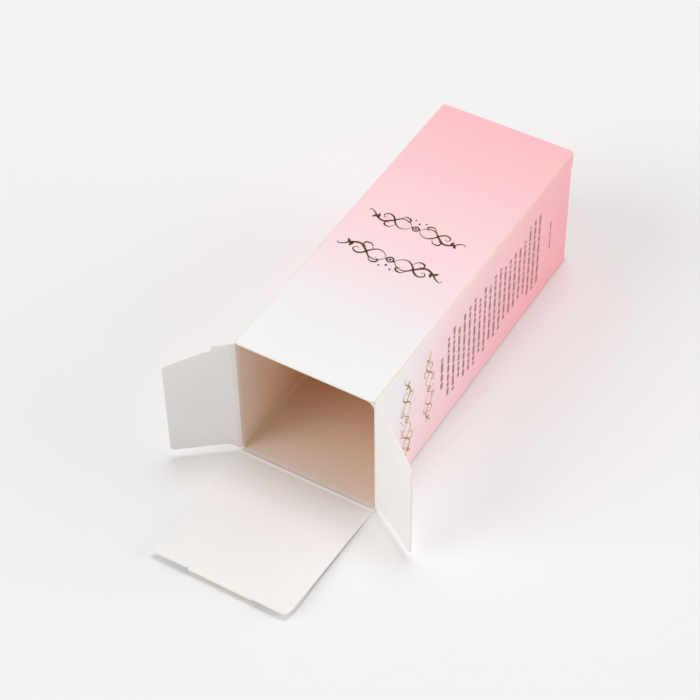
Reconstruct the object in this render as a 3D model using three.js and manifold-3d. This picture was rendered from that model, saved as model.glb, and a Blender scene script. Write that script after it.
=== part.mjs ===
// Folding carton for a 30 ml dropper bottle, lying on its back panel with its mouth open.
// Millimetres. X is the width, +Y runs from the open mouth to the closed base, +Z is up.
// The origin is the centre of the back panel's outer face.

import * as THREE from "three";
import { mergeVertices } from "three/addons/utils/BufferGeometryUtils.js";
import Module from "manifold-3d";

// Driving dimensions of the carton
const WIDTH = 38;
const DEPTH = 38;
const FRONT_PANEL_LENGTH = 99.3;
const BOARD = 0.45;
const FOLD_RADIUS = 0.7;
const LEAST_INNER_FOLD_RADIUS = 0.1;
const FIT = 0.3;

// Half the board that a crease takes up, on either side of its axis
const CREASE_HALF = 0.35;

// Glue flap, inside the right side panel
const GLUE_FLAP_WIDTH = 12;
const GLUE_FLAP_END_GAP = 1.2;
const GLUE_FLAP_SLANT = 4;
const GLUE_LAYER_OVERLAP = 0.045;

// Lids
const LID_SIDE_INSET = 0.35;
const LID_RISE = THREE.MathUtils.degToRad(3);
const LID_EAR_LENGTH = 3.2;
const LID_CORNER_RADIUS = 0.8;

// Tuck tabs on the lids
const TAB_DEPTH = 14.5;
const TAB_CORNER_RADIUS = 8;
const TAB_AXIS_BELOW_BOARD = 0.15;
const TAB_START = 0.9;
const TAB_FLOOR_GAP = 0.03;
const LOCK_SLIT_LENGTH = 9.5;
// The base tab is folded a little past square, so that it swings out clear of the front panel.
const BASE_TAB_FOLD = THREE.MathUtils.degToRad(104);

// Dust flaps at the mouth, each with a shoulder that sits in the lid's slit when shut
const FLAP_LENGTH = 17.4;
const FLAP_LOW_EDGE = 2.6;
const FLAP_LOW_ROOT = 0.95;
const FLAP_LOW_ROOT_RUN = 4.2;
const FLAP_SHOULDER_BELOW_FRONT = 0.8;
const FLAP_SHOULDER_LENGTH = 5.4;
const FLAP_STEP_DROP = 1.9;
const FLAP_STEP_RUN = 2.2;
const FLAP_TAPER_DROP = 3.2;
const LEFT_FLAP_SPLAY = THREE.MathUtils.degToRad(54);
const RIGHT_FLAP_SPLAY = THREE.MathUtils.degToRad(61);

// Dust flaps at the base, folded shut under the base lid
const BASE_FLAP_LENGTH = 17.4;
const BASE_FLAP_TOP = 33.4;
const BASE_FLAP_TAPER = 1.6;
const BASE_FLAP_LOW_EDGE = 1.6;

const ARC_STEPS = 6;
const WELD_DISTANCE = 1e-4;
const CUT_OVERRUN = 2;
const SQUARE = Math.PI / 2;

// Sizes that follow from the driving ones
const innerHalfWidth = WIDTH / 2 - BOARD;
const frontInnerFace = DEPTH - BOARD;
const frontPanelEnd = FRONT_PANEL_LENGTH / 2;
// The shut lid lies a clearance past the front panel's end, and the dust flaps a clearance inside the lid.
const lidCreaseEnd = frontPanelEnd + FIT + BOARD / 2;
const backPanelEnd = lidCreaseEnd - CREASE_HALF;
const flapCreaseEnd = lidCreaseEnd - BOARD - FIT;
const sidePanelEnd = flapCreaseEnd - CREASE_HALF;
const flapCreaseX = (WIDTH - BOARD) / 2;
const tabHalfWidth = innerHalfWidth - FIT;
// A shut tab lies a clearance under the front panel's inner face.
const tabOuterFace = frontInnerFace - FIT;
const lidLength = tabOuterFace + TAB_AXIS_BELOW_BOARD - BOARD / 2;
const baseLidLength = tabOuterFace - BOARD;
const flapShoulderTop = DEPTH - FLAP_SHOULDER_BELOW_FRONT;
const tabAxisBelowMiddle = BOARD / 2 + TAB_AXIS_BELOW_BOARD;

const printedBoard = new THREE.MeshStandardMaterial({ color: 0xfbdfe4, roughness: 0.55, metalness: 0 });
const whiteBoard = new THREE.MeshStandardMaterial({ color: 0xf3efec, roughness: 0.7, metalness: 0 });
const pinkBoard = new THREE.MeshStandardMaterial({ color: 0xf9c3cb, roughness: 0.55, metalness: 0 });

const wasm = await Module();
wasm.setup();

// A closed geometry as a solid that can be joined and cut
function solidOf(geometry) {
  const bare = geometry.clone();
  bare.deleteAttribute("normal");
  bare.deleteAttribute("uv");
  const merged = mergeVertices(bare, WELD_DISTANCE);
  return new wasm.Manifold(
    new wasm.Mesh({
      numProp: 3,
      vertProperties: new Float32Array(merged.attributes.position.array),
      triVerts: new Uint32Array(merged.index.array),
    }),
  );
}

function geometryOf(solid) {
  const mesh = solid.getMesh();
  const geometry = new THREE.BufferGeometry();
  geometry.setAttribute("position", new THREE.BufferAttribute(mesh.vertProperties, 3));
  geometry.setIndex(new THREE.BufferAttribute(mesh.triVerts, 1));
  geometry.computeVertexNormals();
  return geometry;
}

function boxBetween(low, high) {
  const size = high.map((value, i) => value - low[i]);
  const box = new THREE.BoxGeometry(...size);
  box.translate(...low.map((value, i) => value + size[i] / 2));
  return box;
}

// A flat sheet of board: an outline in x and y, with its outer face at height outerFace
function boardSheet(shape, outerFace) {
  const sheet = new THREE.ExtrudeGeometry(shape, {
    depth: BOARD,
    bevelEnabled: false,
    curveSegments: ARC_STEPS,
  });
  sheet.translate(0, 0, outerFace);
  return sheet;
}

// A crease: its group's x runs along the axis, y away from the panel, z to the inner face.
// A positive fold turns the flap inwards.
function crease(position, away, inner, fold) {
  const frame = new THREE.Group();
  const along = new THREE.Vector3().crossVectors(away, inner);
  frame.quaternion.setFromRotationMatrix(new THREE.Matrix4().makeBasis(along, away, inner));
  frame.position.copy(position);
  const folded = new THREE.Group();
  folded.rotation.x = fold;
  frame.add(folded);
  return { frame, folded };
}

function named(name, geometry, material) {
  const mesh = new THREE.Mesh(geometry, material);
  mesh.name = name;
  return mesh;
}

function roundedRectangle(path, halfWidth, low, high, radius) {
  path.moveTo(-halfWidth + radius, low);
  path.lineTo(halfWidth - radius, low);
  path.absarc(halfWidth - radius, low + radius, radius, -SQUARE, 0);
  path.lineTo(halfWidth, high - radius);
  path.absarc(halfWidth - radius, high - radius, radius, 0, SQUARE);
  path.lineTo(-halfWidth + radius, high);
  path.absarc(-halfWidth + radius, high - radius, radius, SQUARE, 2 * SQUARE);
  path.lineTo(-halfWidth, low + radius);
  path.absarc(-halfWidth + radius, low + radius, radius, 2 * SQUARE, 3 * SQUARE);
  return path;
}

// The four panels as one square tube, as long as the back panel
function panelTube() {
  const section = roundedRectangle(new THREE.Shape(), WIDTH / 2, 0, DEPTH, FOLD_RADIUS);
  const innerRadius = Math.max(FOLD_RADIUS - BOARD, LEAST_INNER_FOLD_RADIUS);
  section.holes.push(roundedRectangle(new THREE.Path(), innerHalfWidth, BOARD, frontInnerFace, innerRadius));
  const tube = new THREE.ExtrudeGeometry(section, {
    depth: 2 * backPanelEnd,
    bevelEnabled: false,
    curveSegments: ARC_STEPS,
  });
  tube.rotateX(SQUARE);
  tube.translate(0, backPanelEnd, 0);
  return tube;
}

// Cuts the side panels back to their dust flap creases, and the front panel to its own end
function panelCuts() {
  const far = backPanelEnd + CUT_OVERRUN;
  const wide = WIDTH / 2 + CUT_OVERRUN;
  const sideLow = FOLD_RADIUS;
  const sideHigh = DEPTH - FOLD_RADIUS;
  return [
    boxBetween([-wide, -far, sideLow], [wide, -sidePanelEnd, sideHigh]),
    boxBetween([-wide, sidePanelEnd, BASE_FLAP_TOP], [wide, far, sideHigh]),
    boxBetween([-wide, -far, DEPTH / 2], [wide, -frontPanelEnd, DEPTH + CUT_OVERRUN]),
    boxBetween([-wide, frontPanelEnd, DEPTH / 2], [wide, far, DEPTH + CUT_OVERRUN]),
    boxBetween([-wide, flapCreaseEnd + BOARD / 2, sideLow], [wide, far, DEPTH / 2]),
  ];
}

// The glue flap: joined to the back panel's right edge and glued flat inside the right side panel
function glueFlap() {
  const low = BOARD / 2;
  const high = BOARD + GLUE_FLAP_WIDTH;
  const end = sidePanelEnd - GLUE_FLAP_END_GAP;
  const shape = new THREE.Shape();
  shape.moveTo(-end, low);
  shape.lineTo(end, low);
  shape.lineTo(end - GLUE_FLAP_SLANT, high);
  shape.lineTo(-end + GLUE_FLAP_SLANT, high);
  shape.closePath();
  const flap = boardSheet(shape, 0);
  flap.applyMatrix4(
    new THREE.Matrix4().makeBasis(
      new THREE.Vector3(0, 1, 0),
      new THREE.Vector3(0, 0, 1),
      new THREE.Vector3(1, 0, 0),
    ),
  );
  // It reaches a little into the side panel, so that the two join into one board.
  flap.translate(innerHalfWidth - BOARD + GLUE_LAYER_OVERLAP, 0, 0);
  return flap;
}

// One base dust flap, folded shut across the end, joined to its side panel
function shutBaseFlap(side) {
  const root = WIDTH / 2;
  const free = root - BASE_FLAP_LENGTH;
  const shape = new THREE.Shape();
  shape.moveTo(side * root, BASE_FLAP_LOW_EDGE);
  shape.lineTo(side * free, BASE_FLAP_LOW_EDGE);
  shape.lineTo(side * free, BASE_FLAP_TOP - BASE_FLAP_TAPER);
  shape.lineTo(side * root, BASE_FLAP_TOP);
  shape.closePath();
  const flap = boardSheet(shape, 0);
  flap.rotateX(SQUARE);
  flap.translate(0, flapCreaseEnd + BOARD / 2, 0);
  return flap;
}

function cartonTube() {
  let solid = solidOf(panelTube());
  for (const cut of panelCuts()) solid = solid.subtract(solidOf(cut));
  solid = solid.add(solidOf(glueFlap()));
  for (const side of [-1, 1]) solid = solid.add(solidOf(shutBaseFlap(side)));
  return named("carton_tube", geometryOf(solid), printedBoard);
}

// A lid's outline: it narrows a little from its crease to its front edge
function lidShape(length, cornerRadius, earReach) {
  const rootHalf = WIDTH / 2 - LID_SIDE_INSET;
  const half = tabHalfWidth;
  const shape = new THREE.Shape();
  shape.moveTo(-rootHalf, CREASE_HALF);
  shape.lineTo(rootHalf, CREASE_HALF);
  if (earReach > 0) {
    shape.lineTo(half, length - LID_EAR_LENGTH);
    shape.lineTo(half + earReach, length);
  } else {
    shape.lineTo(half, length);
  }
  shape.lineTo(-half + cornerRadius, length);
  if (cornerRadius > 0) shape.quadraticCurveTo(-half, length, -half, length - cornerRadius);
  shape.closePath();
  return shape;
}

// The three far sides of a tuck tab, with round corners
function tabFreeEdge(shape) {
  const half = tabHalfWidth;
  shape.lineTo(half, TAB_DEPTH - TAB_CORNER_RADIUS);
  shape.quadraticCurveTo(half, TAB_DEPTH, half - TAB_CORNER_RADIUS, TAB_DEPTH);
  shape.lineTo(-half + TAB_CORNER_RADIUS, TAB_DEPTH);
  shape.quadraticCurveTo(-half, TAB_DEPTH, -half, TAB_DEPTH - TAB_CORNER_RADIUS);
  shape.closePath();
  return shape;
}

// The mouth lid's tab. Beyond its slits it starts further from the crease than in the middle:
// the shut dust flap's shoulder stands in the slit, a clearance from the lid and from the tab.
function slitTabShape() {
  const half = tabHalfWidth;
  const neck = half - LOCK_SLIT_LENGTH;
  const shoulder = TAB_AXIS_BELOW_BOARD + 2 * (BOARD + FIT);
  const shape = new THREE.Shape();
  shape.moveTo(-half, shoulder);
  shape.lineTo(-neck, shoulder);
  shape.lineTo(-neck, TAB_START);
  shape.lineTo(neck, TAB_START);
  shape.lineTo(neck, shoulder);
  shape.lineTo(half, shoulder);
  return tabFreeEdge(shape);
}

function plainTabShape() {
  const shape = new THREE.Shape();
  shape.moveTo(-tabHalfWidth, 0);
  shape.lineTo(tabHalfWidth, 0);
  return tabFreeEdge(shape);
}

// How far the mouth lid's tab is folded back, so that its free edge comes down to the ground under the lid
function tabFoldBack() {
  const axisHeight = BOARD / 2 + lidLength * Math.sin(LID_RISE) - tabAxisBelowMiddle * Math.cos(LID_RISE);
  const faceBelowAxis = TAB_AXIS_BELOW_BOARD + BOARD;
  const reach = Math.hypot(TAB_DEPTH, faceBelowAxis);
  const slope = Math.asin((axisHeight - TAB_FLOOR_GAP) / reach) - Math.atan2(faceBelowAxis, TAB_DEPTH);
  return Math.PI - (slope - LID_RISE);
}

// The crease between the back panel and a lid. direction is 1 at the base and -1 at the mouth.
function lidCrease(direction, fold) {
  const position = new THREE.Vector3(0, direction * lidCreaseEnd, BOARD / 2);
  return crease(position, new THREE.Vector3(0, direction, 0), new THREE.Vector3(0, 0, 1), fold);
}

// The open lid at the mouth, with its tab folded back under it and one bent-out front corner
function mouthLid() {
  const lid = lidCrease(-1, LID_RISE);
  const shape = lidShape(lidLength, LID_CORNER_RADIUS, WIDTH / 2 - tabHalfWidth);
  lid.folded.add(named("top_lid", boardSheet(shape, -BOARD / 2), whiteBoard));
  const tabPosition = new THREE.Vector3(0, lidLength, -tabAxisBelowMiddle);
  const tab = crease(tabPosition, new THREE.Vector3(0, 1, 0), new THREE.Vector3(0, 0, 1), -tabFoldBack());
  tab.folded.add(named("top_lid_tab", boardSheet(slitTabShape(), TAB_AXIS_BELOW_BOARD), whiteBoard));
  lid.folded.add(tab.frame);
  return lid.frame;
}

// The shut lid at the base: lid, round fold and tab in one sheet
function baseLid() {
  const lid = boardSheet(lidShape(baseLidLength, 0, 0), -BOARD / 2);
  const fold = new THREE.CylinderGeometry(BOARD / 2, BOARD / 2, 2 * tabHalfWidth, 4 * ARC_STEPS);
  fold.rotateZ(SQUARE);
  fold.translate(0, baseLidLength, 0);
  const tab = boardSheet(plainTabShape(), -BOARD / 2);
  tab.rotateX(BASE_TAB_FOLD);
  tab.translate(0, baseLidLength, 0);
  const solid = solidOf(lid).add(solidOf(fold)).add(solidOf(tab));
  const shut = lidCrease(1, SQUARE);
  shut.folded.add(named("base_lid", geometryOf(solid), pinkBoard));
  return shut.frame;
}

// The outline of a mouth dust flap. up is 1 where the crease's x points up, else -1.
function mouthFlapShape(up) {
  const shape = new THREE.Shape();
  const stepEnd = FLAP_SHOULDER_LENGTH + FLAP_STEP_RUN;
  const stepFoot = flapShoulderTop - FLAP_STEP_DROP;
  const freeTop = stepFoot - FLAP_TAPER_DROP;
  shape.moveTo(up * FLAP_LOW_ROOT, CREASE_HALF);
  shape.quadraticCurveTo(up * FLAP_LOW_EDGE, FLAP_LOW_ROOT_RUN / 2, up * FLAP_LOW_EDGE, FLAP_LOW_ROOT_RUN);
  shape.lineTo(up * FLAP_LOW_EDGE, FLAP_LENGTH);
  shape.lineTo(up * freeTop, FLAP_LENGTH);
  shape.lineTo(up * stepFoot, stepEnd);
  shape.quadraticCurveTo(up * stepFoot, FLAP_SHOULDER_LENGTH, up * flapShoulderTop, FLAP_SHOULDER_LENGTH);
  shape.lineTo(up * flapShoulderTop, CREASE_HALF);
  shape.closePath();
  return shape;
}

function mouthDustFlap(name, side, splay) {
  const position = new THREE.Vector3(side * flapCreaseX, -flapCreaseEnd, 0);
  const away = new THREE.Vector3(0, -1, 0);
  const inner = new THREE.Vector3(-side, 0, 0);
  const flapCrease = crease(position, away, inner, -splay);
  flapCrease.folded.add(named(name, boardSheet(mouthFlapShape(-side), -BOARD / 2), whiteBoard));
  return flapCrease.frame;
}

const carton = new THREE.Group();
carton.add(cartonTube());
carton.add(mouthDustFlap("left_dust_flap", -1, LEFT_FLAP_SPLAY));
carton.add(mouthDustFlap("right_dust_flap", 1, RIGHT_FLAP_SPLAY));
carton.add(mouthLid());
carton.add(baseLid());

export default carton;
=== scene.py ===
"""Looks of a printed folding carton for a dropper bottle: bent board sheets, folds, print, floor and light.

Lengths are millimetres until a mesh is made. X is the width, +Y runs from the mouth to the base, +Z is up.
"""

import math
import random

import bmesh
import bpy
from mathutils import Matrix, Vector

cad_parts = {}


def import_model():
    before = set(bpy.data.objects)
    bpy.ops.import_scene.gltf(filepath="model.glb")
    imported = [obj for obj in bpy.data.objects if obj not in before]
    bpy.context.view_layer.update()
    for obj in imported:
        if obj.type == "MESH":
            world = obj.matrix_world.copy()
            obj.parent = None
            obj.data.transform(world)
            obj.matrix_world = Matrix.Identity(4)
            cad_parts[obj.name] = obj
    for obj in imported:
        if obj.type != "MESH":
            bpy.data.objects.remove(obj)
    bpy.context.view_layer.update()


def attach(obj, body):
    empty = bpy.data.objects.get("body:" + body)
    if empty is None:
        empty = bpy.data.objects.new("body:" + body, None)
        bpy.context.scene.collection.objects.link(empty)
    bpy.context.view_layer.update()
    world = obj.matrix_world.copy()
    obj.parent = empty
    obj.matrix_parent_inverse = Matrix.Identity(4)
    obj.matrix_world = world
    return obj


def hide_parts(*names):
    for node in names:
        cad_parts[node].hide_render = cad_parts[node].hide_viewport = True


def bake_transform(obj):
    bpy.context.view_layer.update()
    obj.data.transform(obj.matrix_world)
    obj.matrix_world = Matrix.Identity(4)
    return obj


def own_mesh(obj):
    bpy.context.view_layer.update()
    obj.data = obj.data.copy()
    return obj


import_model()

MM = 0.001
RIGHT_ANGLE = math.pi / 2

# Board
WIDTH = 38.0
DEPTH = 38.0
BOARD = 0.45
FOLD_RADIUS = 0.475
MIDDLE_X = (WIDTH - BOARD) / 2
MIDDLE_TOP = DEPTH - BOARD / 2
MIDDLE_LOW = BOARD / 2
FOLD_RIDGE = 0.3
FOLD_RIDGE_HALF = 0.28
GROOVE_SHARE = 0.4
RIM_ROUND = 0.07

# Ends of the panels along Y, and what joins them at the corners
FRONT_END = 49.65
CORNER_STEP = 0.5
CORNER_EASE = 0.3
FLAP_AXIS_Y = 49.425
LID_AXIS_Y = 50.175
FLAP_STRIP = 0.9
LID_STRIP = 1.0

# Lids and tabs
LID_RISE = math.radians(3)
LID_LENGTH = 37.175
LID_ROOT_HALF = 18.65
LID_FRONT_HALF = 18.25
LID_LIP = 0.58
LID_CORNER = 1.6
LID_EAR = 1.1
LID_EAR_LENGTH = 3.2
LID_EAR_KNEE = 1.2
LID_EAR_KNEE_SHARE = 0.35
LID_RIDGE = 0.2
LID_RIDGE_HALF = 0.4
TAB_FOLD_BACK = math.radians(178.38)
TAB_OFFSET = 0.375
TAB_DEPTH = 14.5
TAB_CORNER = 8.0
TAB_SHOULDER = 1.65
TAB_NECK = 8.75
TAB_START = 0.9
NOTCH_HALF = 8.84
BASE_LID_LENGTH = 36.8
BASE_TAB_TURN = math.radians(104)
BASE_FOLD_RADIUS = BOARD / 2 + 0.15

# Mouth dust flaps
FLAP_LENGTH = 17.4
LEFT_SPLAY = math.radians(54)
RIGHT_SPLAY = math.radians(61)
FLAP_ROOT_LOW = 0.95
FLAP_LOW = 2.6
FLAP_LOW_BEND = 1.2
FLAP_LOW_START = 3.4
FLAP_CORNER_LOW = 0.7
FLAP_CORNER_TOP = 0.8
FLAP_FREE_TOP = 32.2
FLAP_STEP_FOOT = 35.3
FLAP_STEP_OUTER = 6.7
FLAP_STEP_INNER = 4.5
FLAP_SHOULDER_TOP = 37.2
FLAP_CURL = math.radians(5)
FLAP_RIDGE_LEFT = 0.14
FLAP_RIDGE_RIGHT = -0.2
FLAP_RIDGE_HALF = 0.2

# Base dust flaps
BASE_FLAP_LENGTH = 17.4
BASE_FLAP_LOW = 1.6
BASE_FLAP_TOP = 33.4
BASE_FLAP_TAPER = 1.6
BASE_FLAP_ROOT = 0.3
BASE_FLAP_CORNER = 2.0
SHOULDER_END = 49.6

# Rounded inner corner of the mouth
WEB_RADIUS = 2.0
WEB_OVERLAP = 0.05
WEB_FRONT = 0.03
WEB_BACK = 0.9
WEB_STEPS = 8

# Foot of the right side panel, and the glue flap inside it
SIDE_FOOT = 0.25
GLUE_TOP = 12.45
GLUE_END_GAP = 1.8
GLUE_SLANT = 4.0

# Fade of the print from white to pink: shares of the panel's length
FADE_LENGTH = 1.7
FADE_DOWN_PER_METRE = 7.0
FADE_ON_SIDES = 0.22
FADE_UNEVEN = 0.06
FOLD_ZONE = 0.3

# Wear on the outer folds, and the painted highlight on the ridges in the lower inner corners
WORN_HALF = 0.3
WORN_RAGGED = 0.14
WORN_REACH = 1.2
CREASE_REACH = 0.9

# Print
FOIL_UNDER = 0.002
FOIL_THICKNESS = 0.015
GARLAND_X = -1.3
GARLAND_HALF = 13.9
HEADING_Y = -18.0
HEADING_HALF = 5.3
HEADING_HEIGHT = 0.55
FIRST_ROW_Y = -14.8
ROW_PITCH = 2.62
ROW_HEIGHT = 0.5
SHORTEST_ROW_HALF = 8.5
LONGEST_ROW_HALF = 12.2
TEXT_ROWS = 19
LAST_ROW_Y = 39.0
LAST_ROW_HALF = 5.2
LAST_ROW_HEIGHT = 0.3
TEXT_CENTRE_Z = 18.2
SHORTEST_BAR = 1.0
LONGEST_BAR = 3.6
LEAST_BAR = 0.4
BAR_GAP = 0.55
TEXT_SEED = 11

# Camera
CAMERA_EYE = (177.4, -316.95, 380.8)
CAMERA_AZIMUTH = math.radians(31.64)
CAMERA_ELEVATION = math.radians(46.33)
CAMERA_ROLL = math.radians(-1.03)
CAMERA_LENS = 106.04

# Material slots of a sheet
OUTER, INNER, RIM = 0, 1, 2

# A turn or a step smaller than this is none
NEGLIGIBLE = 1e-6


class Bend:
    """Side view of a bent sheet, from a start and a heading: runs of (length, turn), straight or round."""

    def __init__(self, start, heading, runs):
        self.runs = []
        self.length = 0.0
        place = Vector(start)
        for length, turn in runs:
            self.runs.append((self.length, length, place, heading, turn))
            place = self.step(place, heading, length, turn, length)
            heading += turn
            self.length += length

    @staticmethod
    def step(place, heading, length, turn, along):
        """The point that far along a run."""
        if abs(turn) < NEGLIGIBLE:
            return place + along * Vector((math.cos(heading), math.sin(heading)))
        radius = length / turn
        angle = heading + along / radius
        forward = math.sin(angle) - math.sin(heading)
        sideways = math.cos(heading) - math.cos(angle)
        return place + radius * Vector((forward, sideways))

    def at(self, along):
        """The middle line's point there, and the direction to the board's inner face."""
        run = self.runs[0]
        for candidate in self.runs:
            if along >= candidate[0] - NEGLIGIBLE:
                run = candidate
        begin, length, place, heading, turn = run
        point = self.step(place, heading, length, turn, along - begin)
        angle = heading + turn * (along - begin) / length
        return point, Vector((-math.sin(angle), math.cos(angle)))

    def arc_cuts(self, step):
        """Places to cut a sheet, close together on the arcs."""
        cuts = []
        for begin, length, _, _, turn in self.runs:
            cuts.append(begin)
            if abs(turn) > NEGLIGIBLE:
                count = max(2, round(length / step))
                cuts += [begin + length * i / count for i in range(1, count)]
        return cuts + [self.length]


def evenly(low, high, step):
    """Numbers from low to high, about a step apart."""
    count = max(1, round((high - low) / step))
    return [low + (high - low) * i / count for i in range(count + 1)]


def curve_between(start, control, end, steps=7):
    """Points of a quadratic curve, without its start."""
    points = []
    for i in range(1, steps + 1):
        t = i / steps
        corners = zip(start, control, end)
        points.append(tuple((1 - t) ** 2 * a + 2 * t * (1 - t) * b + t * t * c for a, b, c in corners))
    return points


def rounded(outline, radii):
    """The outline with its corners rounded, each by its own radius."""
    points = []
    count = len(outline)
    for i, corner in enumerate(outline):
        radius = radii.get(i, 0)
        if radius <= 0:
            points.append(corner)
            continue
        here = Vector(corner)
        before = here + (Vector(outline[i - 1]) - here).normalized() * radius
        after = here + (Vector(outline[(i + 1) % count]) - here).normalized() * radius
        points.append(tuple(before))
        points += curve_between(tuple(before), corner, tuple(after))
    return points


def flat_grid(outline, across_cuts, along_cuts):
    """A flat outline cut into a grid: its points, its faces and its rim edges."""
    grid = bmesh.new()
    grid.faces.new([grid.verts.new((u, s, 0)) for u, s in outline])
    grid.normal_update()
    if grid.faces[:][0].normal.z < 0:
        bmesh.ops.reverse_faces(grid, faces=grid.faces[:])
    for normal, cuts in ((Vector((1, 0, 0)), across_cuts), (Vector((0, 1, 0)), along_cuts)):
        for cut in cuts:
            everything = grid.verts[:] + grid.edges[:] + grid.faces[:]
            bmesh.ops.bisect_plane(grid, geom=everything, dist=1e-5, plane_co=normal * cut, plane_no=normal)
    grid.verts.index_update()
    points = [tuple(v.co.xy) for v in grid.verts]
    faces = [[v.index for v in f.verts] for f in grid.faces]
    rim = []
    for face in grid.faces:
        for loop in face.loops:
            if loop.edge.is_boundary:
                rim.append((loop.vert.index, loop.link_loop_next.vert.index))
    grid.free()
    return points, faces, rim


def object_from(name, vertices, faces, slots, materials):
    """A mesh object from millimetre points, with a material slot for each face."""
    mesh = bpy.data.meshes.new(name)
    mesh.from_pydata([tuple(c * MM for c in v) for v in vertices], [], faces)
    for material in materials:
        mesh.materials.append(material)
    for polygon, slot in zip(mesh.polygons, slots):
        polygon.material_index = slot
        polygon.use_smooth = True
    mesh.validate()
    made = bpy.data.objects.new(name, mesh)
    bpy.context.scene.collection.objects.link(made)
    return made


def sheet(name, outline, bend, place, materials, beads=(), across_step=3.0, arc_step=0.12, rim_round=True):
    """A bent sheet of board.

    The outline is in (across, along the bend), and place turns (across, a, b) into a point. Each bead is
    (place along the bend, height, half width): a ridge on the inner face and a groove on the outer.
    """
    reach = [u for u, _ in outline]
    cuts = bend.arc_cuts(arc_step) + evenly(0, bend.length, across_step)
    for centre, _, half_width in beads:
        cuts += [centre + half_width * k / 3 for k in range(-7, 8)]
    cuts = [c for c in cuts if 0 < c < bend.length]
    points, faces, rim = flat_grid(outline, evenly(min(reach), max(reach), across_step), sorted(set(cuts)))
    count = len(points)
    sides = []
    for u, s in points:
        point, inward = bend.at(s)
        ridge = sum(height * math.exp(-((s - centre) / half) ** 2) for centre, height, half in beads)
        outer = point - inward * (BOARD / 2 - GROOVE_SHARE * ridge)
        inner = point + inward * (BOARD / 2 + ridge)
        sides.append((place(u, *outer), place(u, *inner)))
    vertices = [side[0] for side in sides] + [side[1] for side in sides]
    made_faces = [list(reversed(f)) for f in faces] + [[i + count for i in f] for f in faces]
    slots = [OUTER] * len(faces) + [INNER] * len(faces)
    for a, b in rim:
        made_faces.append([a, b, b + count, a + count])
        slots.append(RIM)
    made = object_from(name, vertices, made_faces, slots, materials)
    face_outwards(made)
    sharpen_rims(made)
    if rim_round:
        bevel = made.modifiers.new("rim", "BEVEL")
        bevel.width = RIM_ROUND * MM
        bevel.segments = 2
        bevel.limit_method = "WEIGHT"
        bevel.harden_normals = True
        weights = made.data.attributes.new("bevel_weight_edge", "FLOAT", "EDGE")
        for edge in made.data.edges:
            weights.data[edge.index].value = 1.0 if edge.use_edge_sharp else 0.0
    return made


def face_outwards(made):
    """Turns the faces of a closed mesh so that they look out of it."""
    work = bmesh.new()
    work.from_mesh(made.data)
    if work.calc_volume(signed=True) < 0:
        bmesh.ops.reverse_faces(work, faces=work.faces[:])
    work.to_mesh(made.data)
    work.free()


def sharpen_rims(made):
    """Marks the edges between a face of the board and its cut rim as sharp."""
    work = bmesh.new()
    work.from_mesh(made.data)
    for edge in work.edges:
        kinds = {f.material_index == RIM for f in edge.link_faces}
        if len(kinds) == 2:
            edge.smooth = False
    work.to_mesh(made.data)
    work.free()


# Materials


def shader(name, roughness):
    """A new principled material: its node tree and its shader node."""
    material = bpy.data.materials.new(name)
    material.use_nodes = True
    bsdf = material.node_tree.nodes["Principled BSDF"]
    bsdf.inputs["Roughness"].default_value = roughness
    return material, material.node_tree, bsdf


def srgb(red, green, blue):
    """A colour in the 0 to 255 of a picture as the linear colour of a shader."""
    linear = []
    for level in (red / 255, green / 255, blue / 255):
        linear.append(level / 12.92 if level <= 0.04 else ((level + 0.055) / 1.055) ** 2.4)
    return (*linear, 1.0)


def grey(level):
    """A grey of that linear level."""
    return (level, level, level, 1.0)


def math_node(tree, operation, first, second=0.0):
    """The result of a sum on sockets or numbers."""
    node = tree.nodes.new("ShaderNodeMath")
    node.operation = operation
    for socket, value in zip(node.inputs, (first, second)):
        if isinstance(value, bpy.types.NodeSocket):
            tree.links.new(value, socket)
        else:
            socket.default_value = value
    return node.outputs[0]


def position(tree):
    """The object's own coordinates, as one vector and as three numbers."""
    coordinates = tree.nodes.new("ShaderNodeTexCoord")
    split = tree.nodes.new("ShaderNodeSeparateXYZ")
    tree.links.new(coordinates.outputs["Object"], split.inputs[0])
    return coordinates.outputs["Object"], split.outputs


def noise(tree, vector, scale, detail=3.0, stretch=None):
    """Noise of that many grains to the metre."""
    if stretch:
        mapping = tree.nodes.new("ShaderNodeMapping")
        mapping.inputs["Scale"].default_value = stretch
        tree.links.new(vector, mapping.inputs["Vector"])
        vector = mapping.outputs["Vector"]
    node = tree.nodes.new("ShaderNodeTexNoise")
    node.inputs["Scale"].default_value = scale
    node.inputs["Detail"].default_value = detail
    tree.links.new(vector, node.inputs["Vector"])
    return node.outputs["Fac"]


def ramp(tree, value, stops):
    """A colour for each value, from stops of (value, colour)."""
    node = tree.nodes.new("ShaderNodeValToRGB")
    elements = node.color_ramp.elements
    while len(elements) < len(stops):
        elements.new(0.5)
    for element, (place, colour) in zip(elements, stops):
        element.position = place
        element.color = colour
    tree.links.new(value, node.inputs["Fac"])
    return node.outputs["Color"]


def mix(tree, share, first, second, kind="MIX"):
    """Two colours mixed: share is how much of the second."""
    node = tree.nodes.new("ShaderNodeMix")
    node.data_type = "RGBA"
    node.blend_type = kind
    for socket, value in ((node.inputs[0], share), (node.inputs[6], first), (node.inputs[7], second)):
        if isinstance(value, bpy.types.NodeSocket):
            tree.links.new(value, socket)
        else:
            socket.default_value = value
    return node.outputs[2]


def bump(tree, bsdf, layers):
    """Fine relief from several heights, each (value, strength, distance in millimetres)."""
    last = None
    for value, strength, distance in layers:
        node = tree.nodes.new("ShaderNodeBump")
        node.inputs["Strength"].default_value = strength
        node.inputs["Distance"].default_value = distance * MM
        tree.links.new(value, node.inputs["Height"])
        if last is not None:
            tree.links.new(last, node.inputs["Normal"])
        last = node.outputs["Normal"]
    tree.links.new(last, bsdf.inputs["Normal"])


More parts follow.
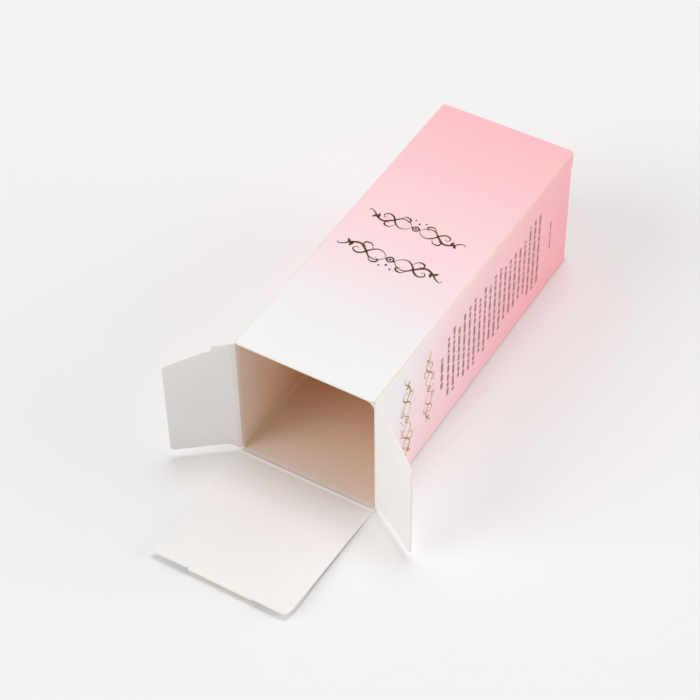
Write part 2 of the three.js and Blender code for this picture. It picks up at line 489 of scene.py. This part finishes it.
def grain_variation(tree, vector, colour, amount):
    """The colour made a little darker and lighter in soft blotches and fine grain."""
    blotch = noise(tree, vector, 60, 2)
    fine = noise(tree, vector, 2500, 2)
    soft_part = math_node(tree, "MULTIPLY", blotch, 0.7)
    total = math_node(tree, "ADD", soft_part, math_node(tree, "MULTIPLY", fine, 0.3))
    shade = ramp(tree, total, [(0.3, grey(1 - amount)), (0.7, grey(1.0))])
    return mix(tree, 1.0, colour, shade, "MULTIPLY")


def fold_wear(tree, vector, axes):
    """1 on the crest of the long upper folds, where the print is worn to bare board."""
    beside = math_node(tree, "SUBTRACT", WIDTH / 2 * MM, math_node(tree, "ABSOLUTE", axes["X"]))
    above = math_node(tree, "SUBTRACT", DEPTH * MM, axes["Z"])
    off_crest = math_node(tree, "ABSOLUTE", math_node(tree, "SUBTRACT", beside, above))
    ragged = math_node(tree, "MULTIPLY", noise(tree, vector, 700, 3), WORN_RAGGED * MM)
    on_crest = math_node(tree, "LESS_THAN", math_node(tree, "ADD", off_crest, ragged), WORN_HALF * MM)
    by_fold = math_node(tree, "LESS_THAN", math_node(tree, "ADD", beside, above), WORN_REACH * MM)
    return math_node(tree, "MULTIPLY", on_crest, by_fold)


def painted_crease_highlight(tree, axes):
    """1 on the ridges along the lower inner corners, inside the box only, where a highlight is painted."""
    across = math_node(tree, "SUBTRACT", (WIDTH / 2 - BOARD) * MM, math_node(tree, "ABSOLUTE", axes["X"]))
    up = math_node(tree, "SUBTRACT", axes["Z"], BOARD * MM)
    away = math_node(tree, "ADD", math_node(tree, "ABSOLUTE", across), math_node(tree, "ABSOLUTE", up))
    inside = math_node(tree, "GREATER_THAN", axes["Y"], -(FLAP_AXIS_Y - FLAP_STRIP) * MM)
    return math_node(tree, "MULTIPLY", math_node(tree, "LESS_THAN", away, CREASE_REACH * MM), inside)


def printed_board():
    """Coated print that fades from white at the mouth to pink at the base, and deeper down the sides."""
    material, tree, bsdf = shader("printed_board", 0.42)
    vector, axes = position(tree)
    from_mouth = math_node(tree, "ADD", axes["Y"], FRONT_END * MM)
    along = math_node(tree, "DIVIDE", from_mouth, 2 * FRONT_END * MM)
    from_front = math_node(tree, "SUBTRACT", DEPTH * MM, axes["Z"])
    down = math_node(tree, "MULTIPLY", from_front, FADE_DOWN_PER_METRE)
    uneven = math_node(tree, "SUBTRACT", noise(tree, vector, 25, 1), 0.5)
    soft = math_node(tree, "MULTIPLY", uneven, FADE_UNEVEN)
    from_middle = math_node(tree, "ABSOLUTE", axes["X"])
    on_side = math_node(tree, "GREATER_THAN", from_middle, (WIDTH / 2 - FOLD_ZONE) * MM)
    deeper = math_node(tree, "MULTIPLY", on_side, math_node(tree, "MULTIPLY", along, FADE_ON_SIDES))
    place = math_node(tree, "ADD", along, down)
    place = math_node(tree, "ADD", place, math_node(tree, "ADD", soft, deeper))
    stops = [
        (0.02, srgb(246, 246, 246)),
        (0.13, srgb(244, 239, 241)),
        (0.25, srgb(252, 222, 227)),
        (0.45, srgb(255, 204, 210)),
        (0.60, srgb(255, 190, 197)),
        (1.00, srgb(255, 164, 172)),
    ]
    colour = ramp(tree, math_node(tree, "DIVIDE", place, FADE_LENGTH), stops)
    colour = grain_variation(tree, vector, colour, 0.02)
    worn = fold_wear(tree, vector, axes)
    colour = mix(tree, math_node(tree, "MULTIPLY", worn, 0.85), colour, srgb(234, 208, 172))
    tree.links.new(colour, bsdf.inputs["Base Color"])
    mottle = ramp(tree, noise(tree, vector, 400, 3), [(0.3, grey(0.36)), (0.7, grey(0.5))])
    tree.links.new(mottle, bsdf.inputs["Roughness"])
    bump(tree, bsdf, [(noise(tree, vector, 70, 2), 0.25, 0.12), (noise(tree, vector, 3500, 2), 0.12, 0.01)])
    return material


def bare_board():
    """The uncoated inner side: white on the lid and flaps and cream inside the box, with a painted warm
    shade that deepens towards the base.
    """
    material, tree, bsdf = shader("bare_board", 0.85)
    vector, axes = position(tree)
    from_mouth = math_node(tree, "ADD", axes["Y"], LID_AXIS_Y * MM)
    painted_shade_depth = math_node(tree, "DIVIDE", from_mouth, 2 * LID_AXIS_Y * MM)
    # The stops past the mouth grow warmer and darker towards the base: painted warm bounce light and shade
    # inside the box.
    stops = [
        (0.0, srgb(248, 245, 245)),
        (0.02, srgb(249, 230, 214)),
        (0.30, srgb(252, 210, 174)),
        (1.0, srgb(253, 200, 150)),
    ]
    colour = grain_variation(tree, vector, ramp(tree, painted_shade_depth, stops), 0.03)
    fibre = noise(tree, vector, 1500, 3, (1, 0.25, 1))
    colour = mix(tree, math_node(tree, "MULTIPLY", fibre, 0.06), colour, srgb(226, 208, 190))
    # Lighter cream on the inner crease ridges: a painted highlight.
    colour = mix(tree, painted_crease_highlight(tree, axes), colour, srgb(255, 228, 198))
    tree.links.new(colour, bsdf.inputs["Base Color"])
    bump(tree, bsdf, [(fibre, 0.25, 0.02), (noise(tree, vector, 80, 2), 0.3, 0.12)])
    return material


def creased_board():
    """Board whose surface has cracked cream along a sharp fold."""
    material, tree, bsdf = shader("creased_board", 0.9)
    vector, _ = position(tree)
    cracks = noise(tree, vector, 1200, 4, (1, 4, 4))
    colour = ramp(tree, cracks, [(0.35, srgb(247, 238, 225)), (0.6, srgb(252, 247, 240))])
    tree.links.new(colour, bsdf.inputs["Base Color"])
    bump(tree, bsdf, [(cracks, 0.5, 0.05)])
    return material


def cut_edge():
    """The raw cut rim of the board."""
    material, tree, bsdf = shader("cut_edge", 0.9)
    vector, _ = position(tree)
    fibre = noise(tree, vector, 4000, 4)
    colour = ramp(tree, fibre, [(0.3, srgb(243, 232, 215)), (0.7, srgb(252, 247, 239))])
    tree.links.new(colour, bsdf.inputs["Base Color"])
    bump(tree, bsdf, [(fibre, 0.5, 0.03)])
    return material


def foil(name, dark, light, roughness):
    """Hot-stamped metal foil, a little uneven."""
    material, tree, bsdf = shader(name, roughness)
    vector, _ = position(tree)
    colour = ramp(tree, noise(tree, vector, 700, 3), [(0.35, dark), (0.65, light)])
    tree.links.new(colour, bsdf.inputs["Base Color"])
    bsdf.inputs["Metallic"].default_value = 0.85
    bump(tree, bsdf, [(noise(tree, vector, 5000, 2), 0.2, 0.01)])
    return material


def ink():
    """Dark mauve ink, thin enough to look a little broken."""
    material, tree, bsdf = shader("mauve_ink", 0.5)
    vector, _ = position(tree)
    broken = noise(tree, vector, 3000, 2)
    colour = ramp(tree, broken, [(0.35, srgb(140, 88, 98)), (0.65, srgb(188, 134, 142))])
    tree.links.new(colour, bsdf.inputs["Base Color"])
    bump(tree, bsdf, [(noise(tree, vector, 3500, 2), 0.12, 0.01)])
    return material


BOARD_MATERIALS = [printed_board(), bare_board(), cut_edge()]

# Places: how (across, a, b) of a bent sheet becomes a point


def box_place(across, a, b):
    """Round the box: across is Y, and the bend is in X and Z."""
    return (a, across, b)


def end_place(across, a, b):
    """Through a lid: across is X, and the bend is in Y and Z."""
    return (across, a, b)


def side_place(across, a, b):
    """Through a side panel and its flap: across is Z, and the bend is in X and Y."""
    return (a, b, across)


def flipped(materials):
    """The same materials for a sheet whose bend runs the other way round."""
    return [materials[INNER], materials[OUTER], materials[RIM]]


def carton_shell():
    """The four panels and the glue flap as one sheet, from the right panel's foot round to the glue flap."""
    quarter = FOLD_RADIUS * RIGHT_ANGLE
    corner = (quarter, RIGHT_ANGLE)
    upper = MIDDLE_TOP - FOLD_RADIUS
    glue_x = MIDDLE_X - BOARD
    low = MIDDLE_LOW + FOLD_RADIUS
    runs = [
        (upper - SIDE_FOOT, 0),
        corner,
        (2 * (MIDDLE_X - FOLD_RADIUS), 0),
        corner,
        (upper - low, 0),
        corner,
        (MIDDLE_X + glue_x - 2 * FOLD_RADIUS, 0),
        corner,
        (GLUE_TOP - low, 0),
    ]
    bend = Bend((MIDDLE_X, SIDE_FOOT), RIGHT_ANGLE, runs)
    starts = [run[0] for run in bend.runs]
    side_end = FLAP_AXIS_Y - FLAP_STRIP
    base_side_end = FLAP_AXIS_Y - FOLD_RADIUS - BASE_FLAP_ROOT
    back_end = LID_AXIS_Y - LID_STRIP
    glue_end = side_end - GLUE_END_GAP
    right_top, front_start, front_end, left_start, left_end, back_start, back_finish, glue_start = starts[1:]
    mouth = [
        (-side_end, 0),
        (-side_end, right_top),
        (-FRONT_END + CORNER_STEP, right_top + CORNER_EASE / 3),
        (-FRONT_END, front_start + CORNER_EASE),
        (-FRONT_END, front_end - CORNER_EASE),
        (-FRONT_END + CORNER_STEP, left_start - CORNER_EASE / 3),
        (-side_end, left_start),
        (-side_end, left_end),
        (-back_end, back_start),
        (-back_end, back_finish),
        (-glue_end, glue_start),
        (-glue_end + GLUE_SLANT, bend.length),
    ]
    base = [
        (glue_end - GLUE_SLANT, bend.length),
        (glue_end, glue_start),
        (LID_AXIS_Y, back_finish),
        (LID_AXIS_Y, back_start),
        (SHOULDER_END, left_end),
        (SHOULDER_END, left_start + upper - BASE_FLAP_LOW),
        (base_side_end, left_start + upper - BASE_FLAP_LOW),
        (base_side_end, left_start + upper - BASE_FLAP_TOP),
        (SHOULDER_END, left_start + upper - BASE_FLAP_TOP),
        (SHOULDER_END, left_start),
        (FRONT_END, front_end),
        (FRONT_END, front_start),
        (SHOULDER_END, right_top),
        (SHOULDER_END, BASE_FLAP_TOP - SIDE_FOOT),
        (base_side_end, BASE_FLAP_TOP - SIDE_FOOT),
        (base_side_end, BASE_FLAP_LOW - SIDE_FOOT),
        (SHOULDER_END, BASE_FLAP_LOW - SIDE_FOOT),
        (SHOULDER_END, 0),
    ]
    beads = [(corner_start + quarter / 2, FOLD_RIDGE, FOLD_RIDGE_HALF) for corner_start in starts[1::2]]
    made = sheet("carton_shell", mouth + base, bend, box_place, BOARD_MATERIALS, beads)
    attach(made, "carton")
    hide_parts("carton_tube")
    return made


def corner_web():
    """The bit of board that rounds the inside of the mouth's upper right corner."""
    right = WIDTH / 2 - BOARD + WEB_OVERLAP
    top = DEPTH - BOARD + WEB_OVERLAP
    turns = evenly(0, RIGHT_ANGLE, RIGHT_ANGLE / WEB_STEPS)
    centre_x, centre_z = right - WEB_RADIUS, top - WEB_RADIUS
    arc = [(centre_x + WEB_RADIUS * math.cos(a), centre_z + WEB_RADIUS * math.sin(a)) for a in turns]
    profile = [(right, top)] + list(reversed(arc))
    count = len(profile)
    stations = (-FRONT_END + WEB_FRONT, -FRONT_END + WEB_BACK)
    vertices = [(x, y, z) for y in stations for x, z in profile]
    faces = [list(reversed(range(count))), list(range(count, 2 * count))]
    faces += [[i, (i + 1) % count, count + (i + 1) % count, count + i] for i in range(count)]
    made = object_from("corner_web", vertices, faces, [RIM, RIM] + [INNER] * count, BOARD_MATERIALS)
    face_outwards(made)
    sharpen_rims(made)
    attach(made, "carton")
    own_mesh(made)


def base_dust_flap(name, side):
    """A dust flap at the base, folded shut across the end."""
    runs = [(BASE_FLAP_ROOT, 0), (FOLD_RADIUS * RIGHT_ANGLE, side * RIGHT_ANGLE), (BASE_FLAP_LENGTH, 0)]
    bend = Bend((side * MIDDLE_X, FLAP_AXIS_Y - FOLD_RADIUS - BASE_FLAP_ROOT), RIGHT_ANGLE, runs)
    outline = [
        (BASE_FLAP_LOW, 0),
        (BASE_FLAP_TOP, 0),
        (BASE_FLAP_TOP - BASE_FLAP_TAPER, bend.length),
        (BASE_FLAP_LOW, bend.length),
    ]
    materials = BOARD_MATERIALS if side > 0 else flipped(BOARD_MATERIALS)
    free_corners = {2: BASE_FLAP_CORNER, 3: BASE_FLAP_CORNER}
    made = sheet(name, rounded(outline, free_corners), bend, side_place, materials)
    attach(made, "carton")


def mouth_flap_outline(free):
    """A mouth dust flap from its crease to its free edge, with its shoulder above the step."""
    outline = [(FLAP_ROOT_LOW, 0)]
    outline += curve_between(outline[-1], (FLAP_LOW, FLAP_LOW_BEND), (FLAP_LOW, FLAP_LOW_START))
    outline += [
        (FLAP_LOW, free - FLAP_CORNER_LOW),
        (FLAP_LOW + FLAP_CORNER_LOW, free),
        (FLAP_FREE_TOP - FLAP_CORNER_TOP, free),
        (FLAP_FREE_TOP, free - FLAP_CORNER_TOP),
        (FLAP_STEP_FOOT, FLAP_STEP_OUTER),
    ]
    step_corner = (FLAP_STEP_FOOT, FLAP_STEP_INNER)
    outline += curve_between(outline[-1], step_corner, (FLAP_SHOULDER_TOP, FLAP_STEP_INNER))
    outline += [(FLAP_SHOULDER_TOP, 0)]
    return outline


def mouth_flap(name, node, body, side, splay):
    """A dust flap at the mouth, splayed outwards, and the strip of bent board at its crease."""
    axis = Vector((side * MIDDLE_X, -FLAP_AXIS_Y))
    panel_heading = -RIGHT_ANGLE
    flap_heading = panel_heading + side * splay
    strip_start = axis + Vector((0, FLAP_STRIP))
    flap_direction = Vector((math.cos(flap_heading), math.sin(flap_heading)))
    strip_end = axis + flap_direction * FLAP_STRIP
    strip_radius = FLAP_STRIP / math.tan(splay / 2)
    materials = BOARD_MATERIALS if side < 0 else flipped(BOARD_MATERIALS)
    around = strip_radius * splay
    ridge = FLAP_RIDGE_LEFT if side < 0 else FLAP_RIDGE_RIGHT
    low, top = FLAP_ROOT_LOW, FLAP_SHOULDER_TOP
    strip = sheet(
        name + "_crease",
        [(low, 0), (top, 0), (top, around), (low, around)],
        Bend(strip_start, panel_heading, [(around, side * splay)]),
        side_place,
        materials,
        beads=[(around / 2, ridge, FLAP_RIDGE_HALF)],
        rim_round=False,
    )
    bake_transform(strip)
    free = FLAP_LENGTH - FLAP_STRIP
    bend = Bend(strip_end, flap_heading, [(free, -side * FLAP_CURL)])
    flap = sheet(name, mouth_flap_outline(free), bend, side_place, materials, arc_step=1.5)
    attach(flap, body)
    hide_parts(node)


def lid_point(along, height):
    """A point of the open lid's side view: along it from its axis, and above its middle."""
    return Vector(
        (
            -LID_AXIS_Y - along * math.cos(LID_RISE) + height * math.sin(LID_RISE),
            MIDDLE_LOW + along * math.sin(LID_RISE) + height * math.cos(LID_RISE),
        )
    )


def mouth_lid():
    """The open lid, the strip at its crease, and the tab folded back under it."""
    materials = flipped(BOARD_MATERIALS)
    heading = math.pi - LID_RISE
    half = LID_ROOT_HALF
    strip_length = 2 * LID_STRIP
    strip = sheet(
        "mouth_lid_crease",
        [(-half, 0), (half, 0), (half, strip_length), (-half, strip_length)],
        Bend((-LID_AXIS_Y + LID_STRIP, MIDDLE_LOW), math.pi, [(strip_length, -LID_RISE)]),
        end_place,
        materials,
        rim_round=False,
    )
    raise_ridge(strip, -LID_AXIS_Y, LID_RIDGE, LID_RIDGE_HALF)
    end = lid_point(LID_STRIP, 0)
    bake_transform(strip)

    length = LID_LENGTH - LID_STRIP
    lip = length + LID_LIP
    outline = [(LID_ROOT_HALF, 0), (LID_FRONT_HALF, length - LID_CORNER)]
    outline += curve_between(outline[-1], (LID_FRONT_HALF, lip), (LID_FRONT_HALF - LID_CORNER, lip))
    outline += [(NOTCH_HALF, lip), (NOTCH_HALF, length), (-NOTCH_HALF, length), (-NOTCH_HALF, lip)]
    knee = (-LID_FRONT_HALF - LID_EAR * LID_EAR_KNEE_SHARE, length - LID_EAR_KNEE)
    outline += [(-LID_FRONT_HALF - LID_EAR, lip), knee]
    outline += [(-LID_FRONT_HALF, length - LID_EAR_LENGTH), (-LID_ROOT_HALF, 0)]
    lid = sheet("mouth_lid_sheet", outline, Bend(end, heading, [(lip, 0)]), end_place, materials)
    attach(lid, "mouth_lid")
    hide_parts("top_lid")
    mouth_tab(materials, heading)


def raise_ridge(made, centre, height, half_width):
    """Presses a rounded ridge up out of a sheet that lies along Y."""
    for vertex in made.data.vertices:
        share = math.exp(-(((vertex.co.y / MM) - centre) / half_width) ** 2)
        lift = 1.0 if vertex.co.z > MIDDLE_LOW * MM else 0.3
        vertex.co.z += height * share * lift * MM


def mouth_tab(materials, heading):
    """The tuck tab with its slits, and the round fold that holds it to the lid between the slits."""
    fold_start = lid_point(LID_LENGTH, 0)
    around = TAB_OFFSET * TAB_FOLD_BACK
    whole = around + TAB_START
    fold = sheet(
        "lid_tab_fold",
        [(-TAB_NECK, 0), (TAB_NECK, 0), (TAB_NECK, whole), (-TAB_NECK, whole)],
        Bend(fold_start, heading, [(around, TAB_FOLD_BACK), (TAB_START, 0)]),
        end_place,
        [creased_board(), BOARD_MATERIALS[OUTER], BOARD_MATERIALS[RIM]],
        rim_round=False,
    )
    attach(fold, "mouth_lid")
    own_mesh(fold)

    axis = lid_point(LID_LENGTH, -TAB_OFFSET)
    tab_heading = heading + TAB_FOLD_BACK
    inward = Vector((math.sin(tab_heading), -math.cos(tab_heading)))
    start = axis + inward * TAB_OFFSET
    outline = [
        (-TAB_NECK, TAB_START),
        (TAB_NECK, TAB_START),
        (TAB_NECK, TAB_SHOULDER),
        (LID_FRONT_HALF, TAB_SHOULDER),
    ]
    outline += tab_end(LID_FRONT_HALF)
    outline += [(-LID_FRONT_HALF, TAB_SHOULDER), (-TAB_NECK, TAB_SHOULDER)]
    bend = Bend(start, tab_heading, [(TAB_DEPTH, 0)])
    tab = sheet("mouth_tab_sheet", outline, bend, end_place, materials)
    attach(tab, "mouth_tab")
    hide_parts("top_lid_tab")


def tab_end(half, begin=0.0, radius=TAB_CORNER):
    """The free edge of a tuck tab, from its right side to its left, with round corners."""
    far = begin + TAB_DEPTH
    points = [(half, far - radius)]
    points += curve_between((half, far - radius), (half, far), (half - radius, far))
    points += [(-half + radius, far)]
    points += curve_between((-half + radius, far), (-half, far), (-half, far - radius))
    return points


def base_lid():
    """The shut lid at the base with its tab inside the front panel, and the rounded crease at its foot."""
    straight = BASE_LID_LENGTH - BASE_FOLD_RADIUS
    runs = [(straight, 0), (BASE_FOLD_RADIUS * BASE_TAB_TURN, BASE_TAB_TURN), (TAB_DEPTH, 0)]
    bend = Bend((LID_AXIS_Y, MIDDLE_LOW), RIGHT_ANGLE, runs)
    tab_begin = bend.length - TAB_DEPTH
    outline = [(-LID_ROOT_HALF, 0), (LID_ROOT_HALF, 0), (LID_FRONT_HALF, straight)]
    outline += tab_end(LID_FRONT_HALF, tab_begin)
    outline += [(-LID_FRONT_HALF, straight)]
    made = sheet("base_lid_sheet", outline, bend, end_place, BOARD_MATERIALS)
    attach(made, "end_lid")
    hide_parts("base_lid")
    crease = crease_bead("base_lid_crease", LID_ROOT_HALF, BOARD / 2)
    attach(crease, "carton")


def crease_bead(name, half_length, radius, steps=16):
    """A round fold along X at the base lid's axis."""
    turns = [2 * math.pi * i / steps for i in range(steps)]
    profile = [(math.cos(a) * radius, math.sin(a) * radius) for a in turns]
    stations = evenly(-half_length, half_length, 2.0)
    vertices = [(x, LID_AXIS_Y + y, MIDDLE_LOW + z) for x in stations for y, z in profile]
    faces = []
    for i in range(len(stations) - 1):
        for k in range(steps):
            a, b = i * steps + k, i * steps + (k + 1) % steps
            faces.append([a, b, b + steps, a + steps])
    slots = [OUTER] * len(faces)
    last = (len(stations) - 1) * steps
    faces += [list(reversed(range(steps))), list(range(last, last + steps))]
    slots += [RIM, RIM]
    made = object_from(name, vertices, faces, slots, BOARD_MATERIALS)
    face_outwards(made)
    sharpen_rims(made)
    return made


# Print


def ribbon(points, widths):
    """A flat stroke along points in a plane: its outline as quads, (points, faces)."""
    vertices, faces = [], []
    for i, point in enumerate(points):
        before = Vector(points[max(i - 1, 0)])
        after = Vector(points[min(i + 1, len(points) - 1)])
        along = (after - before).normalized()
        across = Vector((-along.y, along.x)) * widths[i] / 2
        vertices += [Vector(point) + across, Vector(point) - across]
        if i:
            faces.append([2 * i - 2, 2 * i - 1, 2 * i + 1, 2 * i])
    return vertices, faces


def swash(points, width, steps=9):
    """A smooth stroke through points, thin at its ends and swelling in between."""
    guides = [Vector(p) for p in points]
    guides = [2 * guides[0] - guides[1]] + guides + [2 * guides[-1] - guides[-2]]
    line = []
    for p0, p1, p2, p3 in zip(guides, guides[1:], guides[2:], guides[3:]):
        for i in range(steps):
            t = i / steps
            bend = (2 * p0 - 5 * p1 + 4 * p2 - p3) * t * t + (3 * p1 - p0 - 3 * p2 + p3) * t ** 3
            line.append((2 * p1 + (p2 - p0) * t + bend) / 2)
    line.append(guides[-2])
    last = len(line) - 1
    thin = 0.28
    swell = [thin + (1 - thin) * math.sin(math.pi * i / last) ** 2 for i in range(last + 1)]
    return ribbon(line, [width * share for share in swell])


def ring(radius, width, steps=28):
    """A thin ring round the middle."""
    turns = [2 * math.pi * i / steps for i in range(steps)]
    outer = [Vector((math.cos(a), math.sin(a))) * (radius + width / 2) for a in turns]
    inner = [Vector((math.cos(a), math.sin(a))) * (radius - width / 2) for a in turns]
    faces = [[i, (i + 1) % steps, steps + (i + 1) % steps, steps + i] for i in range(steps)]
    return outer + inner, faces


def disc(centre, radius, steps=14):
    """A round dot."""
    turns = [2 * math.pi * i / steps for i in range(steps)]
    points = [Vector(centre) + Vector((math.cos(a), math.sin(a))) * radius for a in turns]
    return points, [list(range(steps))]


def leaf(start, heading, length, width, steps=10):
    """A pointed leaf."""
    direction = Vector((math.cos(heading), math.sin(heading)))
    points = [Vector(start) + direction * length * i / steps for i in range(steps + 1)]
    tip = 0.04
    return ribbon(points, [tip + width * math.sin(math.pi * (i / steps) ** 0.8) for i in range(steps + 1)])


def garland(half_span, bold, direction):
    """A symmetrical garland of swashes, curls and leaves round a ring.

    direction is 1 where it arches up and -1 where it arches down.
    """
    scale = half_span / GARLAND_HALF
    long_swash = [(0.9, -0.2), (2.6, 1.5), (4.8, 1.6), (6.7, -0.1), (8.7, -1.4)]
    long_swash += [(10.7, -0.8), (12.2, 0.5), (13.5, 1.0), (GARLAND_HALF, 0.4)]
    curled_swash = [(0.9, 0.5), (2.0, -1.1), (3.9, -1.7), (5.6, -0.6), (6.8, 1.0)]
    curled_swash += [(8.2, 1.7), (9.5, 1.0), (9.1, 0.0), (8.3, 0.4)]
    upper_curl = [(5.2, 1.4), (4.2, 2.6), (2.8, 2.4), (2.5, 1.5), (3.4, 1.2)]
    lower_curl = [(5.2, -1.0), (6.3, -2.5), (7.8, -2.4), (8.0, -1.4), (7.1, -1.2)]
    half = [
        swash(long_swash, bold),
        swash(curled_swash, bold * 0.85),
        swash(upper_curl, bold * 0.8),
        swash(lower_curl, bold * 0.8),
        leaf((10.4, -0.9), math.radians(75), 1.7, bold * 1.3),
        leaf((11.2, -0.4), math.radians(-50), 1.4, bold * 1.2),
        disc((1.5, 2.9), bold * 0.45),
    ]
    pieces = []
    for vertices, faces in half:
        for side in (1, -1):
            pieces.append(([Vector((v[0] * side, v[1] * direction)) * scale for v in vertices], faces))
    top_dot = disc((0.0, 2.0 * scale * direction), bold * 0.55 * scale)
    return pieces + [ring(0.8 * scale, bold * 0.7), disc((0, 0), bold * 0.6), top_dot]


def stamp(name, pieces, place, material):
    """Thin raised print: flat pieces, put on the carton by place(u, v, height)."""
    vertices, faces = [], []
    for points, polygons in pieces:
        count, base = len(points), len(vertices)
        vertices += [place(p[0], p[1], FOIL_UNDER) for p in points]
        vertices += [place(p[0], p[1], FOIL_THICKNESS) for p in points]
        edges = {}
        for polygon in polygons:
            faces.append([base + i for i in reversed(polygon)])
            faces.append([base + count + i for i in polygon])
            for a, b in zip(polygon, polygon[1:] + polygon[:1]):
                edges[(a, b)] = True
        for a, b in edges:
            if (b, a) not in edges:
                faces.append([base + a, base + b, base + count + b, base + count + a])
    made = object_from(name, vertices, faces, [0] * len(faces), [material])
    for polygon in made.data.polygons:
        polygon.use_smooth = False
    work = bmesh.new()
    work.from_mesh(made.data)
    bmesh.ops.recalc_face_normals(work, faces=work.faces[:])
    work.to_mesh(made.data)
    work.free()
    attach(made, "carton")
    return made


def front_place(centre_y):
    """On the front panel: u runs along X, v towards the mouth."""
    return lambda u, v, height: (u + GARLAND_X, centre_y - v, DEPTH + height)


def side_panel_place(centre_y, centre_z):
    """On the right side panel: u runs up, v towards the mouth."""
    return lambda u, v, height: (WIDTH / 2 + height, centre_y - v, centre_z + u)


def ornaments():
    """Foil garlands on the front panel and on the right side panel."""
    # The two foils are one gold foil in two colours: the front panel's darker copy is painted shade, the
    # side's is the lit copy.
    front_foil_shade = foil("shaded_front_foil", srgb(62, 42, 24), srgb(112, 80, 48), 0.5)
    gold = foil("gold_foil", srgb(176, 132, 70), srgb(212, 170, 106), 0.4)
    stamp("front_garland_far", garland(13.4, 0.58, -1), front_place(4.6), front_foil_shade)
    stamp("front_garland_near", garland(14.4, 0.6, 1), front_place(-7.8), front_foil_shade)
    stamp("side_garland_far", garland(12.4, 0.52, -1), side_panel_place(-24.4, 19.0), gold)
    stamp("side_garland_near", garland(14.0, 0.54, 1), side_panel_place(-34.9, 18.2), gold)


def text_bars():
    """Rows of short bars on the right side panel."""
    chance = random.Random(TEXT_SEED)
    pieces = bar_row(chance, HEADING_HALF, HEADING_Y, HEADING_HEIGHT)
    for i in range(TEXT_ROWS):
        half = chance.uniform(SHORTEST_ROW_HALF, LONGEST_ROW_HALF)
        pieces += bar_row(chance, half, FIRST_ROW_Y + ROW_PITCH * i, ROW_HEIGHT)
    pieces += bar_row(chance, LAST_ROW_HALF, LAST_ROW_Y, LAST_ROW_HEIGHT)
    stamp("side_small_print", pieces, side_panel_place(0, TEXT_CENTRE_Z), ink())


def bar_row(chance, half, y, height):
    """One row of bars with gaps, centred across the panel."""
    pieces = []
    u = -half
    while u < half:
        length = min(chance.uniform(SHORTEST_BAR, LONGEST_BAR), half - u)
        low, high = -y - height, -y + height
        if length > LEAST_BAR:
            corners = [(u, low), (u + length, low), (u + length, high), (u, high)]
            pieces.append(([Vector(corner) for corner in corners], [[0, 1, 2, 3]]))
        u += length + BAR_GAP
    return pieces


# Stage


def camera():
    """The camera of the picture, placed by the direction it looks from."""
    azimuth, elevation = CAMERA_AZIMUTH, CAMERA_ELEVATION
    data = bpy.data.cameras.new("camera")
    made = bpy.data.objects.new("camera", data)
    bpy.context.scene.collection.objects.link(made)
    outward = Vector((math.sin(azimuth), -math.cos(azimuth), 0)) * math.cos(elevation)
    back = outward + Vector((0, 0, math.sin(elevation)))
    level = Vector((math.cos(azimuth), math.sin(azimuth), 0))
    upright = back.cross(level)
    right = level * math.cos(CAMERA_ROLL) + upright * math.sin(CAMERA_ROLL)
    up = upright * math.cos(CAMERA_ROLL) - level * math.sin(CAMERA_ROLL)
    turn = Matrix((right, up, back)).transposed().to_4x4()
    made.matrix_world = Matrix.Translation(Vector(CAMERA_EYE) * MM) @ turn
    data.sensor_width = 36
    data.lens = CAMERA_LENS
    data.clip_start = 0.01
    data.clip_end = 20
    bpy.context.scene.camera = made


def floor():
    """A pale matt floor."""
    material, tree, bsdf = shader("floor", 0.75)
    vector, _ = position(tree)
    colour = ramp(tree, noise(tree, vector, 3, 2), [(0.3, srgb(243, 243, 243)), (0.7, srgb(245, 245, 245))])
    tree.links.new(colour, bsdf.inputs["Base Color"])
    bsdf.inputs["Specular IOR Level"].default_value = 0.1
    bpy.ops.mesh.primitive_plane_add(size=6, location=(0, 0, 0))
    made = bpy.context.object
    made.name = "floor"
    made.data.materials.append(material)


def world():
    """Soft light from all round, and a pale plain background for the camera."""
    made = bpy.data.worlds.new("world")
    bpy.context.scene.world = made
    made.use_nodes = True
    tree = made.node_tree
    tree.nodes.clear()
    output = tree.nodes.new("ShaderNodeOutputWorld")
    lighting = tree.nodes.new("ShaderNodeBackground")
    lighting.inputs["Color"].default_value = (1.0, 0.985, 0.975, 1)
    lighting.inputs["Strength"].default_value = 0.45
    seen = tree.nodes.new("ShaderNodeBackground")
    seen.inputs["Color"].default_value = srgb(244, 244, 244)
    path = tree.nodes.new("ShaderNodeLightPath")
    direct = math_node(tree, "MAXIMUM", path.outputs["Is Camera Ray"], path.outputs["Is Glossy Ray"])
    direct = math_node(tree, "MAXIMUM", direct, path.outputs["Is Transmission Ray"])
    blend = tree.nodes.new("ShaderNodeMixShader")
    tree.links.new(direct, blend.inputs[0])
    tree.links.new(lighting.outputs[0], blend.inputs[1])
    tree.links.new(seen.outputs[0], blend.inputs[2])
    tree.links.new(blend.outputs[0], output.inputs["Surface"])


def sun(name, azimuth, elevation, strength, softness):
    """A soft lamp that shines from that azimuth, measured from +Y towards +X, and elevation."""
    data = bpy.data.lights.new(name, "SUN")
    data.energy = strength
    data.angle = math.radians(softness)
    made = bpy.data.objects.new(name, data)
    a, e = math.radians(azimuth), math.radians(elevation)
    source = Vector((math.sin(a) * math.cos(e), math.cos(a) * math.cos(e), math.sin(e)))
    made.rotation_mode = "QUATERNION"
    made.rotation_quaternion = source.to_track_quat("Z", "Y")
    bpy.context.scene.collection.objects.link(made)


carton_shell()
corner_web()
base_dust_flap("base_flap_left", -1)
base_dust_flap("base_flap_right", 1)
mouth_flap("left_flap_sheet", "left_dust_flap", "left_flap", -1, LEFT_SPLAY)
mouth_flap("right_flap_sheet", "right_dust_flap", "right_flap", 1, RIGHT_SPLAY)
mouth_lid()
base_lid()
ornaments()
text_bars()
camera()
floor()
world()
sun("key", -6, 80, 0.9, 26)
sun("front_fill", 218, 32, 1.03, 40)
sun("side_fill", 62, 14, 1.06, 50)
bpy.context.scene.view_settings.view_transform = "Standard"
